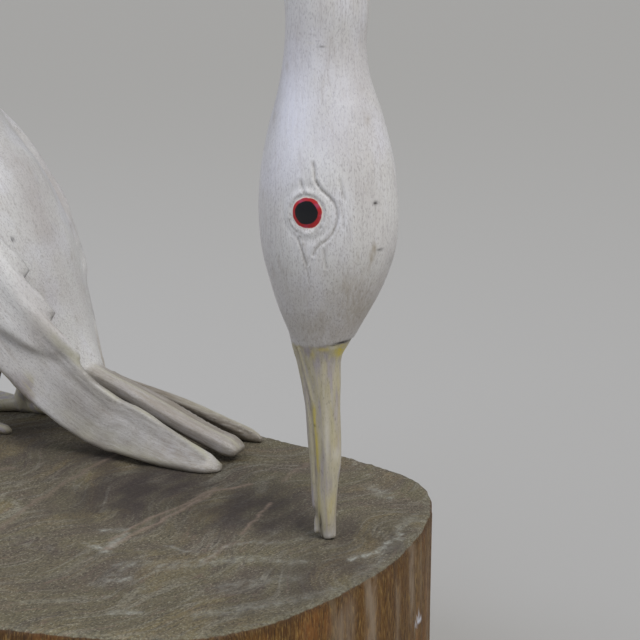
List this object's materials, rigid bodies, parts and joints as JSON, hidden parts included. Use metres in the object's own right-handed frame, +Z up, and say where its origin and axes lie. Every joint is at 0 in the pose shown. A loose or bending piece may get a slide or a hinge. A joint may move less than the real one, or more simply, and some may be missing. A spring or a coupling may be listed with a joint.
{
  "type": "carved wooden egret sculpture",
  "caption": "Painted wooden egret standing low on a slice of tree stump, its long neck arched back over the body so that the beak points straight down onto the stump.",
  "frame": {"origin": "centre of the flat underside of the stump", "axes": "+Z up, +X from the bird's chest towards its beak, along the long way of the stump and the plane of the neck's arch, +Y towards the wing that the head turns away from"},
  "size_m": [0.3361, 0.2391, 0.4181],
  "materials": {
    "painted_wood": "thin worn lilac-white paint over carved wood, with yellow left on the beak and red and black eyes",
    "stump_wood": "grey weathered end grain on top, stained brown bare wood round the side"
  },
  "bodies": {
    "root": {"egret": "painted_wood", "stump_base": "stump_wood"}
  },
  "joints": []
}
